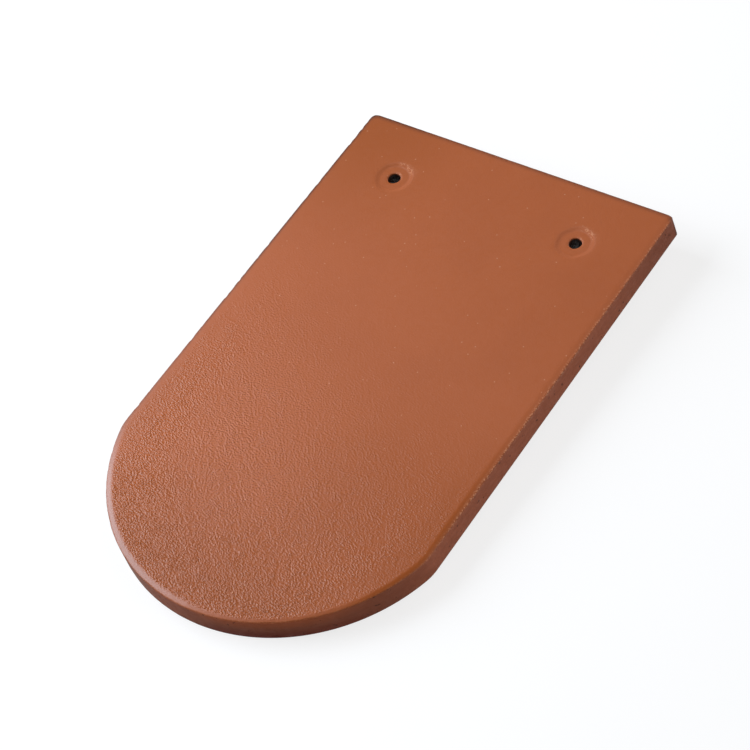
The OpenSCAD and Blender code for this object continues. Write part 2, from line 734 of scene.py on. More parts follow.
@dataclass(frozen=True)
class HangingNib:
    """A hanging nib on the underside, rounded along its foot and drafted to both ends."""

    x: float
    front_y: float
    foot_w: float = 22.0
    length: float = 14.0
    height: float = 9.0
    foot_r: float = 2.5
    draft: float = 12.0
    corner_r: float = 1.2
    root_r: float = 0.9
    end_r: float = 1.0
    columns: int = 27
    rows: int = 15
    root_rings: int = 4
    foot_rings: int = 6

    def section(self, places: Array, half_w: float, half_l: float, level: float) -> Array:
        """Level section of the nib: a rectangle with rounded corners.

        Args:
            places: Places from -1 to 1 across and along the nib.
            half_w: Half the section's width.
            half_l: Half the section's length.
            level: Height of the section.

        Returns:
            The section's points.
        """
        plan = places * np.array([half_w, half_l])
        box = np.array([half_w - self.corner_r, half_l - self.corner_r])
        away = np.abs(plan) - box
        span = lengths(away)
        rounded = np.sign(plan) * (box + away * (self.corner_r / span)[..., None])
        in_corner = (away > 0.0).all(axis=-1) & (span > self.corner_r)
        plan = np.where(in_corner[..., None], rounded, plan)
        middle = np.array([self.x, self.front_y + self.length / 2.0])
        return raised(plan + middle, level)

    def profile(self) -> list[Triple]:
        """Side view of the nib: a small fillet at the root and a quarter round along the foot.

        Returns:
            What each ring grows by, its level, and what the quarter round pulls its ends in by.
        """
        rings = []
        for turn in np.linspace(0.0, math.pi / 2.0, self.root_rings):
            grown = self.root_r * (1 - math.sin(turn))
            rings.append((grown, -self.root_r * (1 - math.cos(turn)), 0.0))
        rings.append((0.0, -self.height / 2.0, 0.0))
        for turn in np.linspace(0.0, math.pi / 2.0, self.foot_rings):
            short = 1 - math.cos(turn)
            level = self.foot_r - self.height - self.foot_r * math.sin(turn)
            rings.append((-self.foot_r * short, level, self.end_r * short))
        return rings

    def build(self, skin: Patchwork, border: Array) -> None:
        """Carry the nib's rounded rectangle from its root to its foot and close the foot.

        The section follows the profile and narrows by the draft on its way down.

        Args:
            skin: Patchwork that takes the nib.
            border: Point numbers of the opening in the underside.
        """
        lines = np.linspace(-1, 1, self.columns + 1), np.linspace(-1, 1, self.rows + 1)
        places = np.stack(np.meshgrid(*lines), axis=-1)
        slope = math.tan(math.radians(self.draft))
        half_l = self.length / 2.0
        ring = border
        for grown, level, pulled in self.profile():
            half_w = self.foot_w / 2.0 + (self.height + level) * slope + max(grown, 0.0) - pulled
            ring = skin.carry(ring, self.section(ring_of(places), half_w, half_l + grown, level))
        self.close(skin, ring, places)

    def close(self, skin: Patchwork, ring: Array, places: Array) -> None:
        """Close the foot with a flat net whose border is the last ring.

        Args:
            skin: Patchwork that takes the net.
            ring: Point numbers of the last ring.
            places: Places of the net's points across and along the nib, from -1 to 1.
        """
        half_w, half_l = self.foot_w / 2.0 - self.end_r, self.length / 2.0 - self.foot_r
        inside = self.section(places[1:-1, 1:-1], half_w, half_l, -self.height)
        numbers = np.arange(places[..., 0].size).reshape(places.shape[:-1])
        edge = ring_of(numbers)
        numbers[1:-1, 1:-1] = skin.add(inside)
        numbers.flat[edge] = ring
        skin.net(numbers, np.ones((self.rows, self.columns), dtype=bool), looks_up=False)


@dataclass(frozen=True)
class ClayRelief:
    """The grain that the press and the kiln leave in the clay, in millimetres."""

    grain_depth: float = 0.045
    smooth_share: float = 0.05
    grain_rise: Pair = (182.0, 10.0)
    grain_skew: float = 0.38
    pebble_share: float = 0.8
    pebble: ClayNoise = ClayNoise(11, (1.9, 2.3, 9.0))
    swell_share: float = 0.35
    swell_shift: float = 3.7
    swell: ClayNoise = ClayNoise(12, (5.5, 6.5, 9.0))
    drag_depth: float = 0.05
    drag_share: float = 0.6
    drag: ClayNoise = ClayNoise(21, (6.0, 6.0, 1.1))
    crumb_share: float = 0.4
    crumb: ClayNoise = ClayNoise(22, (1.6, 1.6, 1.6))
    pit_depth: float = 0.22
    pit_rise: Pair = (0.55, 0.85)
    pit: ClayNoise = ClayNoise(23, (3.4, 3.4, 2.6))
    burr_depth: float = 0.16
    chip_rise: Pair = (0.05, 0.8)
    chip: ClayNoise = ClayNoise(31, (2.1, 2.1, 2.1))

    def share(self, plan: Array) -> Array:
        """Share of the full grain: all of it over the tail, little at the smooth head.

        Args:
            plan: Places as X and Y, one a row.

        Returns:
            The shares, from 0 to 1.
        """
        along = plan[:, 1] + self.grain_skew * plan[:, 0]
        return mix((self.smooth_share, 1.0), smooth_step(*self.grain_rise, along))

    def face(self, plan: Array) -> Array:
        """Leather grain of the face: two lattices of noise, the finer one drawn out along Y.

        Args:
            plan: Places as X and Y, one a row.

        Returns:
            The heights to add to the face.
        """
        points = raised(plan, 0.0)
        pebble = self.pebble_share * self.pebble.at(points)
        swell = self.swell_share * self.swell.at(points + self.swell_shift)
        return self.grain_depth * self.share(plan) * (pebble + swell)

    def side(self, points: Array) -> Array:
        """Drag marks of the side: noise drawn out along the edge, with crumbs and pits.

        Args:
            points: Places on the side.

        Returns:
            The distances to move outwards.
        """
        marks = self.drag_share * self.drag.at(points) + self.crumb_share * self.crumb.at(points)
        pits = smooth_step(*self.pit_rise, self.pit.at(points))
        return self.drag_depth * marks - self.pit_depth * pits

    def burr(self, points: Array) -> Array:
        """How far the crease between the face and the side is rubbed back, never negative."""
        return self.burr_depth * smooth_step(*self.chip_rise, self.chip.at(points))


class NodeBench:
    """Small helper that lays out the nodes of one material or of the world."""

    LIMITS = ("From Min", "From Max", "To Min", "To Max")
    NOISE_SPREAD = (0.3, 0.7)
    LAYER_SHARE = 0.5
    # The mix node keeps sockets for each kind of value: the share, the lower and the upper one
    NUMBER_SOCKETS = (0, 2, 3)
    COLOUR_SOCKETS = (0, 6, 7)

    def __init__(self, owner: bpy.types.Material | bpy.types.World) -> None:
        """Start with an empty tree and its output.

        Args:
            owner: Material or world that gets the nodes.
        """
        owner.use_nodes = True
        self.tree = owner.node_tree
        self.tree.nodes.clear()
        kind = "World" if isinstance(owner, bpy.types.World) else "Material"
        self.output = self.node(f"ShaderNodeOutput{kind}")

    def node(self, kind: str, **settings: object) -> bpy.types.Node:
        """Add a node and set its properties.

        Args:
            kind: Blender's name of the node type.
            settings: Properties of the node.

        Returns:
            The node.
        """
        made = self.tree.nodes.new(kind)
        for key, value in settings.items():
            setattr(made, key, value)
        return made

    def join(self, socket: Socket, value: Feed) -> None:
        """Feed a socket from another socket, a number or a colour.

        Args:
            socket: The input socket.
            value: The output socket, number or colour that feeds it.
        """
        if isinstance(value, Socket):
            self.tree.links.new(value, socket)
        elif socket.type == "RGBA":
            socket.default_value = (*value, 1.0)
        else:
            socket.default_value = value

    def scaled(self, place: Socket, scale: Triple) -> Socket:
        """Coordinates times a number along each axis.

        Args:
            place: Coordinates to scale.
            scale: Factors along X, Y and Z.

        Returns:
            The scaled coordinates.
        """
        made = self.node("ShaderNodeMapping")
        self.join(made.inputs["Vector"], place)
        self.join(made.inputs["Scale"], scale)
        return made.outputs["Vector"]

    def place_mm(self) -> Socket:
        """Object coordinates in millimetres."""
        return self.scaled(self.node("ShaderNodeTexCoord").outputs["Object"], (1.0 / MM,) * 3)

    def attribute(self, name: str) -> Socket:
        """A number that the mesh carries at its points."""
        return self.node("ShaderNodeAttribute", attribute_name=name).outputs["Fac"]

    def lay_out(
        self, texture: bpy.types.Node, place: Socket, pitch: float, stretch: Triple
    ) -> None:
        """Lay a random pattern over the coordinates.

        Args:
            texture: Node of the pattern.
            place: Coordinates in millimetres.
            pitch: Size of the pattern's cells in millimetres.
            stretch: Scale of the pattern along each axis.
        """
        self.join(texture.inputs["Vector"], self.scaled(place, tuple(s / pitch for s in stretch)))
        self.join(texture.inputs["Scale"], 1.0)

    def noise(
        self, place: Socket, pitch: float, detail: float, stretch: Triple = (1.0, 1.0, 1.0)
    ) -> Socket:
        """Noise with lumps of one size.

        Args:
            place: Coordinates in millimetres.
            pitch: Size of a lump in millimetres.
            detail: Number of finer layers.
            stretch: Scale of the pattern along each axis.

        Returns:
            The noise, about 0 to 1.
        """
        made = self.node("ShaderNodeTexNoise", noise_dimensions="3D")
        self.lay_out(made, place, pitch, stretch)
        self.join(made.inputs["Detail"], detail)
        self.join(made.inputs["Roughness"], self.LAYER_SHARE)
        return made.outputs["Fac"]

    def spots(
        self, place: Socket, pitch: float, reach: Pair, stretch: Triple = (1.0, 1.0, 1.0)
    ) -> Socket:
        """Round spots, one in the middle of each cell of a random pattern.

        Args:
            place: Coordinates in millimetres.
            pitch: Mean distance between spots in millimetres.
            reach: Distances where a spot begins and where it is full, as shares of the pitch.
            stretch: Scale of the pattern along each axis.

        Returns:
            1 on a spot, falling to 0 round it.
        """
        made = self.node("ShaderNodeTexVoronoi", voronoi_dimensions="3D", feature="F1")
        self.lay_out(made, place, pitch, stretch)
        return self.ramp(made.outputs["Distance"], reach)

    def remap(self, value: Socket, source: Pair, target: Pair, curve: str) -> Socket:
        """Take one range of values to another.

        Args:
            value: Value to take over.
            source: Ends of its range, the lower one first.
            target: What the ends become.
            curve: Blender's name of the way between the ends.

        Returns:
            The new value.
        """
        made = self.node("ShaderNodeMapRange", interpolation_type=curve)
        self.join(made.inputs["Value"], value)
        for name, limit in zip(self.LIMITS, (*source, *target)):
            self.join(made.inputs[name], limit)
        return made.outputs["Result"]

    def ramp(self, value: Socket, rise: Pair) -> Socket:
        """Smooth rise from 0 at the first number to 1 at the second, which may be the lower."""
        target = (0.0, 1.0) if rise[0] < rise[1] else (1.0, 0.0)
        return self.remap(value, (min(rise), max(rise)), target, "SMOOTHSTEP")

    def span(self, value: Socket, ends: Pair) -> Socket:
        """Spread noise evenly between two numbers."""
        return self.remap(value, self.NOISE_SPREAD, ends, "LINEAR")

    def calculate(self, operation: str, first: Feed, second: Feed) -> Socket:
        """One sum on two values.

        Args:
            operation: Blender's name of the sum.
            first: First value.
            second: Second value.

        Returns:
            The result.
        """
        made = self.node("ShaderNodeMath", operation=operation)
        self.join(made.inputs[0], first)
        self.join(made.inputs[1], second)
        return made.outputs["Value"]

    def times(self, first: Socket, second: Feed) -> Socket:
        """One value times another or times a number."""
        return self.calculate("MULTIPLY", first, second)

    def plus(self, first: Socket, second: Socket) -> Socket:
        """One value added to another."""
        return self.calculate("ADD", first, second)

    def between(self, share: Socket, base: Socket, over: float) -> Socket:
        """A value on the way from one value to a number.

        Args:
            share: How far along the way, from 0 to 1.
            base: Value at the start.
            over: Number at the end.

        Returns:
            The value.
        """
        made = self.node("ShaderNodeMix", data_type="FLOAT")
        for number, value in zip(self.NUMBER_SOCKETS, (share, base, over)):
            self.join(made.inputs[number], value)
        return made.outputs[0]

    def blend(self, share: Socket, base: Feed, over: Triple) -> Socket:
        """Lay one colour over another.

        Args:
            share: How much of the upper colour shows.
            base: Lower colour.
            over: Upper colour.

        Returns:
            The mixed colour.
        """
        made = self.node("ShaderNodeMix", data_type="RGBA", blend_type="MIX")
        for number, value in zip(self.COLOUR_SOCKETS, (share, base, over)):
            self.join(made.inputs[number], value)
        return made.outputs[2]

    def bump(self, height: Socket, depth: float) -> Socket:
        """Turn a height from 0 to 1 into a bent normal.

        Args:
            height: Height of the relief.
            depth: Real depth of the relief in millimetres.

        Returns:
            The normal.
        """
        made = self.node("ShaderNodeBump")
        for name, value in (("Strength", 1.0), ("Distance", depth * MM), ("Height", height)):
            self.join(made.inputs[name], value)
        return made.outputs["Normal"]

    def surface(self, inputs: dict[str, Feed]) -> None:
        """Close the material with its shader.

        Args:
            inputs: What feeds the shader's sockets, under their names.
        """
        shader = self.node("ShaderNodeBsdfPrincipled")
        for name, value in inputs.items():
            self.join(shader.inputs[name], value)
        self.join(self.output.inputs["Surface"], shader.outputs["BSDF"])


@dataclass(frozen=True)
class FiredClay:
    """Fired clay of the face and the underside: red-brown body, fine grain and pale specks.

    The grained face is matt, and the pressed roll along its edge is smooth with a dull shine.
    Painted shade darkens the tail, the head's left corner, the edges and the bores, and painted
    highlight pales the crease and the lit rims of the countersinks. Pitches and heights are in
    millimetres.
    """

    name: str = "fired_clay"
    light_body: Triple = (0.412, 0.1035, 0.0295)
    dark_body: Triple = (0.396, 0.0988, 0.0280)
    sanded: Triple = (0.398, 0.0950, 0.0190)
    # painted shade: darker face tone over the tail's tip, the right of the tail, the left edge and
    # the head's left corner
    deep: Triple = (0.328, 0.0760, 0.0120)
    rolled: Triple = (0.285, 0.0750, 0.0250)
    speck: Triple = (0.60, 0.29, 0.17)
    # pale rubbed wear on the crease, and painted highlight on the crease and on the lit rims of the
    # countersinks and bores
    rubbed_and_highlight: Triple = (0.66, 0.28, 0.14)
    # painted shade: dark line along the head and the left flank's edges
    burnt: Triple = (0.10, 0.030, 0.014)
    # painted shade: near-black colour in the nail holes' bores
    core: Triple = (0.030, 0.010, 0.006)
    mottle_pitch: float = 38.0
    mottle_rise: Pair = (0.34, 0.66)
    speck_pitch: float = 5.2
    speck_reach: Pair = (0.085, 0.034)
    speck_share: float = 0.55
    broken_pitch: float = 0.75
    broken_rise: Pair = (0.51, 0.60)
    matt_pitch: float = 2.6
    face_roughness: Pair = (0.44, 0.52)
    grain_roughness: float = 0.38
    roll_roughness: float = 0.28
    rubbed_roughness: float = 0.85
    refraction: float = 1.45
    grain_height: float = 0.150
    grain_stretch: Triple = (1.0, 1.6, 1.0)
    pebble_pitch: float = 1.2
    pebble_reach: Pair = (0.72, 0.05)
    pebble_share: float = 1.6
    lump_pitch: float = 0.84
    lump_rise: Pair = (0.38, 0.80)
    lump_share: float = 0.6
    patch_pitch: float = 6.0
    patch_span: Pair = (0.75, 1.25)
    fine_pitch: float = 0.5
    fine_share: float = 0.1

    def tone(self, bench: NodeBench, place: Socket) -> Socket:
        """Colour of the clay.

        The body wavers between two tones over a few centimetres. Over it lie the tones of the
        grained and the rolled clay, painted shade over the tail and the head's left corner, pale
        specks, a painted dark line of shade along the head and the left edge, pale rubbed clay with
        painted highlight on the crease and the countersinks' rims, and painted shade in the bores.

        Args:
            bench: Bench of the material.
            place: Coordinates in millimetres.

        Returns:
            The colour.
        """
        mottle = bench.ramp(bench.noise(place, self.mottle_pitch, detail=3.0), self.mottle_rise)
        specks = bench.spots(place, self.speck_pitch, self.speck_reach)
        broken = bench.ramp(bench.noise(place, self.broken_pitch, detail=1.0), self.broken_rise)
        tone = bench.blend(mottle, self.dark_body, self.light_body)
        for share, over in (
            (bench.attribute("grain"), self.sanded),
            # painted shade over the tail, its edges and the head's left corner
            (bench.attribute("deep"), self.deep),
            (bench.times(bench.attribute("roll"), bench.attribute("dull")), self.rolled),
            (bench.times(specks, self.speck_share), self.speck),
            # painted dark line of shade along the head and the left flank's edges
            (bench.attribute("burnt"), self.burnt),
            # pale rubbed wear and painted highlight on the crease, painted highlight on the
            # countersinks' lit rims
            (bench.times(bench.attribute("edge"), broken), self.rubbed_and_highlight),
            # painted shade in the nail holes' bores
            (bench.attribute("bore"), self.core),
        ):
            tone = bench.blend(share, tone, over)
        return tone

    def roughness(self, bench: NodeBench, place: Socket) -> Socket:
        """Roughness of the clay: matt, smoother on the grain and the roll, dry where rubbed.

        Args:
            bench: Bench of the material.
            place: Coordinates in millimetres.

        Returns:
            The roughness.
        """
        matt = bench.span(bench.noise(place, self.matt_pitch, detail=2.0), self.face_roughness)
        shine = bench.times(bench.attribute("roll"), bench.attribute("shine"))
        grained = bench.between(bench.attribute("grain"), matt, self.grain_roughness)
        rolled = bench.between(shine, grained, self.roll_roughness)
        return bench.between(bench.attribute("dry"), rolled, self.rubbed_roughness)

    def relief(self, bench: NodeBench, place: Socket) -> Socket:
        """Fine relief of the clay: a patchy leather grain of pebbles and lumps over fine noise.

        Args:
            bench: Bench of the material.
            place: Coordinates in millimetres.

        Returns:
            The height.
        """
        stretch = self.grain_stretch
        pebbles = bench.spots(place, self.pebble_pitch, self.pebble_reach, stretch)
        lumpy = bench.noise(place, self.lump_pitch, detail=0.0, stretch=stretch)
        lumps = bench.ramp(lumpy, self.lump_rise)
        grain = bench.plus(
            bench.times(pebbles, self.pebble_share), bench.times(lumps, self.lump_share)
        )
        patchy = bench.span(bench.noise(place, self.patch_pitch, detail=1.0), self.patch_span)
        leather = bench.times(bench.times(grain, patchy), bench.attribute("grain"))
        fine = bench.times(bench.noise(place, self.fine_pitch, detail=1.0), self.fine_share)
        return bench.plus(leather, fine)

    def material(self) -> bpy.types.Material:
        """Build the clay's material.

        Returns:
            The material.
        """
        clay = bpy.data.materials.new(self.name)
        bench = NodeBench(clay)
        place = bench.place_mm()
        bench.surface({
            "Base Color": self.tone(bench, place),
            "Roughness": self.roughness(bench, place),
            "Normal": bench.bump(self.relief(bench, place), self.grain_height),
            "IOR": self.refraction,
        })
        return clay


@dataclass(frozen=True)
class PressedSide:
    """Dry, dull clay of the sides, with drag marks and dark pits from the press.

    Pitches and heights are in millimetres.
    """

    name: str = "pressed_side"
    light_body: Triple = (0.360, 0.105, 0.0510)
    dark_body: Triple = (0.328, 0.094, 0.0450)
    # pale rubbed wear with painted highlight along the crease
    rubbed_and_highlight: Triple = (0.62, 0.30, 0.18)
    # dark pits, and also the painted shade laid by the shade share
    pit: Triple = (0.10, 0.026, 0.011)
    # painted light on the top of the tail's front side
    warm: Triple = (0.53, 0.130, 0.046)
    # painted shade on the foot of the tail's front side
    dark: Triple = (0.20, 0.028, 0.013)
    # painted shade on the left of the tail's side
    dusky: Triple = (0.22, 0.076, 0.042)
    drag_pitch: float = 2.4
    drag_stretch: Triple = (0.3, 0.3, 1.6)
    drag_rise: Pair = (0.36, 0.64)
    pit_pitch: float = 2.6
    pit_rise: Pair = (0.695, 0.75)
    pit_share: float = 0.85
    broken_pitch: float = 0.9
    broken_rise: Pair = (0.50, 0.60)
    pale_share: float = 0.5
    fine_pitch: float = 0.8
    fine_share: float = 0.5
    matt_pitch: float = 3.0
    roughness: Pair = (0.72, 0.86)
    gloss: float = 0.35
    relief: float = 0.16

    def material(self) -> bpy.types.Material:
        """Build the side's material.

        Drag marks are noise drawn out along the level, which shades the body and the bump.
        Painted light and painted shade lie over the body where the mesh asks for them. Dark pits
        are scattered sparsely, and the crease shows rubbed, paler clay with painted highlight.

        Returns:
            The material.
        """
        side = bpy.data.materials.new(self.name)
        bench = NodeBench(side)
        place = bench.place_mm()
        drag = bench.noise(place, self.drag_pitch, detail=3.0, stretch=self.drag_stretch)
        pits = bench.ramp(bench.noise(place, self.pit_pitch, detail=1.0), self.pit_rise)
        broken = bench.ramp(bench.noise(place, self.broken_pitch, detail=1.0), self.broken_rise)
        rubbed_and_highlight = bench.times(bench.attribute("edge"), broken)
        tone = bench.blend(bench.ramp(drag, self.drag_rise), self.dark_body, self.light_body)
        for share, over in (
            # painted light on top of the tail's front side
            (bench.attribute("warm"), self.warm),
            # painted shade at the foot of the tail's front side
            (bench.attribute("dark"), self.dark),
            # painted shade on the left of the tail's side
            (bench.attribute("dusky"), self.dusky),
            # painted shade on the right flank towards the head, at the head corner and near the
            # shoulder, in the pits' colour
            (bench.attribute("shade"), self.pit),
            (bench.times(pits, self.pit_share), self.pit),
            # pale rubbed wear with painted highlight along the crease
            (bench.times(rubbed_and_highlight, self.pale_share), self.rubbed_and_highlight),
        ):
            tone = bench.blend(share, tone, over)
        fine = bench.times(bench.noise(place, self.fine_pitch, detail=2.0), self.fine_share)
        matt = bench.noise(place, self.matt_pitch, detail=2.0)
        bench.surface({
            "Base Color": tone,
            "Roughness": bench.span(matt, self.roughness),
            "Normal": bench.bump(bench.plus(drag, fine), self.relief),
            "Specular IOR Level": self.gloss,
        })
        return side


@dataclass(frozen=True)
class KilnMarks:
    """Marks of the press, the kiln and wear, and painted light, shade and highlight: how much
    of each the tile carries at its points.

    Pairs of shares or widths are the two ends of a range. The other pairs are rises, which begin
    at the first number and are full at the second.
    """

    outline: TilePlan
    roll_edge: Pair = (1.06, 0.6)
    roll_zone: Zone = Zone(along=((150.0, 70.0),))
    dull: Zone = Zone(across=((10.0, -40.0),))
    shine: tuple[Zone, ...] = (Zone(across=((25.0, -5.0),)), Zone(across=((58.0, 74.0),)))
    rim_band: Pair = (16.0, 7.0)
    grain_start: float = 0.56
    grain_rise: float = 0.63
    grain_left_rise: float = 2.5
    grain_right: Zone = Zone(across=((35.0, 65.0),), along=((110.0, 40.0),))
    grain_thin: float = 0.4
    # painted shade on the face: the tail's tip, the right of the tail, the head's left corner and
    # the left edge
    face_shade_tip: Zone = Zone(along=((75.0, 5.0),))
    tip_crease: Pair = (1.0, 4.0)
    tip_shares: Pair = (0.3, 1.0)
    face_shade_right: Zone = Zone(across=((-20.0, 40.0),), along=((150.0, 70.0), (10.0, 50.0)))
    right_shares: Pair = (0.55, 0.80)
    face_shade_corner: Zone = Zone(across=((0.0, -80.0),), along=((170.0, 260.0),), weight=0.9)
    face_shade_left: Zone = Zone(
        across=((-58.0, -80.0),), along=((150.0, 70.0), (45.0, 60.0)), weight=0.4
    )
    # painted light above and painted shade below on the tail's front side
    side_front: Zone = Zone(across=((0.0, 22.0),), along=((50.0, 8.0),))
    light_top_rise: Pair = (5.0, 10.5)
    shade_foot_rise: Pair = (6.5, 0.5)
    # painted shade on the left of the tail's side
    side_left: Zone = Zone(across=((-5.0, -30.0),), along=((80.0, 50.0),))
    # painted shade on the right flank towards the head, on the head corner facet and near the
    # shoulder
    side_shaded: tuple[Zone, ...] = (
        Zone(across=((0.0, 40.0),), along=((200.0, 255.0),), weight=0.35),
        Zone(across=((78.0, 81.0),), along=((262.5, 263.8),), weight=0.6),
        Zone(across=((55.0, 72.0),), along=((60.0, 45.0),), weight=0.2),
    )
    # painted dark line of shade along the head and the left flank's edges
    head_band: Pair = (5.0, 2.0)
    head_edge_shade: float = 0.75
    upper_left: Zone = Zone(along=((90.0, 180.0),))
    left_edge_shade: Pair = (0.6, 1.0)
    edge_shade_widths: Pair = (1.2, 2.1)
    # pale rubbed wear with painted highlight along the crease, most on the right flank
    right_flank: Zone = Zone(across=((20.0, 60.0),), along=((60.0, 100.0),))
    upper_right: Zone = Zone(along=((170.0, 230.0),))
    right_pale: Pair = (1.0, 0.55)
    pale_shares: Pair = (0.2, 1.0)
    pale_width: float = 0.75

    def roll(self, plan: Array, depth: Array) -> Array:
        """Share of smooth roll: along the edge of the tail, but not up the left flank.

        Args:
            plan: Places as X and Y, one a row.
            depth: Depths inside the outline.

        Returns:
            The shares.
        """
        near = smooth_step(*self.roll_edge, depth / self.outline.roll_width(plan))
        return near * self.roll_zone.share(plan) * (1.0 - self.outline.left_flank.share(plan))

    def shiny(self, plan: Array) -> Array:
        """Share of the roll that shines: the left of the tail and the right flank."""
        return np.max([zone.share(plan) for zone in self.shine], axis=0)

    def grain(self, plan: Array, depth: Array) -> Array:
        """Fade of the grain along the edge, which is wider on the left flank.

        The grain is also thinner in a band along the left flank and the right of the tail.

        Args:
            plan: Places as X and Y, one a row.
            depth: Depths inside the outline.

        Returns:
            0 at the edge, rising to 1 inside.
        """
        roll, left = self.outline.roll_width(plan), self.outline.left_flank.share(plan)
        rise = self.grain_rise * roll + self.grain_left_rise * left
        near = smooth_step(*self.rim_band, depth) * np.maximum(left, self.grain_right.share(plan))
        inside = smooth_step(0.0, 1.0, (depth - self.grain_start * roll) / rise)
        return inside * (1.0 - self.grain_thin * near)

    def deep(self, plan: Array, depth: Array) -> Array:
        """Share of painted shade on the face: the tail's tip, right and left edge, and the head's
        left corner.

        Args:
            plan: Places as X and Y, one a row.
            depth: Depths inside the outline.

        Returns:
            The shares.
        """
        inside = smooth_step(*self.tip_crease, depth)
        band = smooth_step(*self.rim_band, depth)
        shares = [
            self.face_shade_tip.share(plan) * mix(self.tip_shares, inside),
            self.face_shade_right.share(plan) * mix(self.right_shares, band),
            self.face_shade_corner.share(plan),
            self.face_shade_left.share(plan),
        ]
        return np.max(shares, axis=0)

    def sides(self, plan: Array, height: Array) -> dict[str, Array]:
        """Shares of painted light and painted shade on the sides.

        The front of the tail has painted light above and painted shade below, and its left has
        painted shade. The right flank has painted shade towards the head, at the worn head corner
        and near the shoulder.

        Args:
            plan: Places as X and Y, one a row.
            height: Heights above the underside.

        Returns:
            The shares under their names.
        """
        front = self.side_front.share(plan)
        return {
            "warm": front * smooth_step(*self.light_top_rise, height),
            "dark": front * smooth_step(*self.shade_foot_rise, height),
            "dusky": self.side_left.share(plan),
            "shade": sum(zone.share(plan) for zone in self.side_shaded),
        }

    def crease(self, plan: Array, depth: Array, below: Array) -> tuple[Array, Array]:
        """Shares of pale rubbed clay with painted highlight, and of a painted dark line of shade,
        along the crease.

        Each share falls off as exp(-(d / w)^2) with the distance d from the crease. The right
        flank is rubbed most, and the head and the left flank get the painted dark line of shade.

        Args:
            plan: Places as X and Y, one a row.
            depth: Depths inside the outline.
            below: Depths under the face.

        Returns:
            The shares of rubbed clay with painted highlight, and of the painted dark line of shade.
        """
        away = np.hypot(np.clip(depth, 0.0, None), np.clip(below, 0.0, None))
        at_head = smooth_step(*self.head_band, self.outline.length - plan[:, 1])
        at_left = self.outline.left_flank.share(plan)
        at_left = at_left * mix(self.left_edge_shade, self.upper_left.share(plan))
        # painted dark line of shade along the head and the left flank
        burnt = np.maximum(at_left, self.head_edge_shade * at_head)
        # pale rubbed wear with painted highlight, most on the right flank
        at_right = mix(self.right_pale, self.upper_right.share(plan))
        worn = mix(self.pale_shares, self.right_flank.share(plan) * at_right)
        rubbed_and_highlight = bell(away, self.pale_width) * worn * (1.0 - burnt)
        return rubbed_and_highlight, bell(away, mix(self.edge_shade_widths, at_head)) * burnt


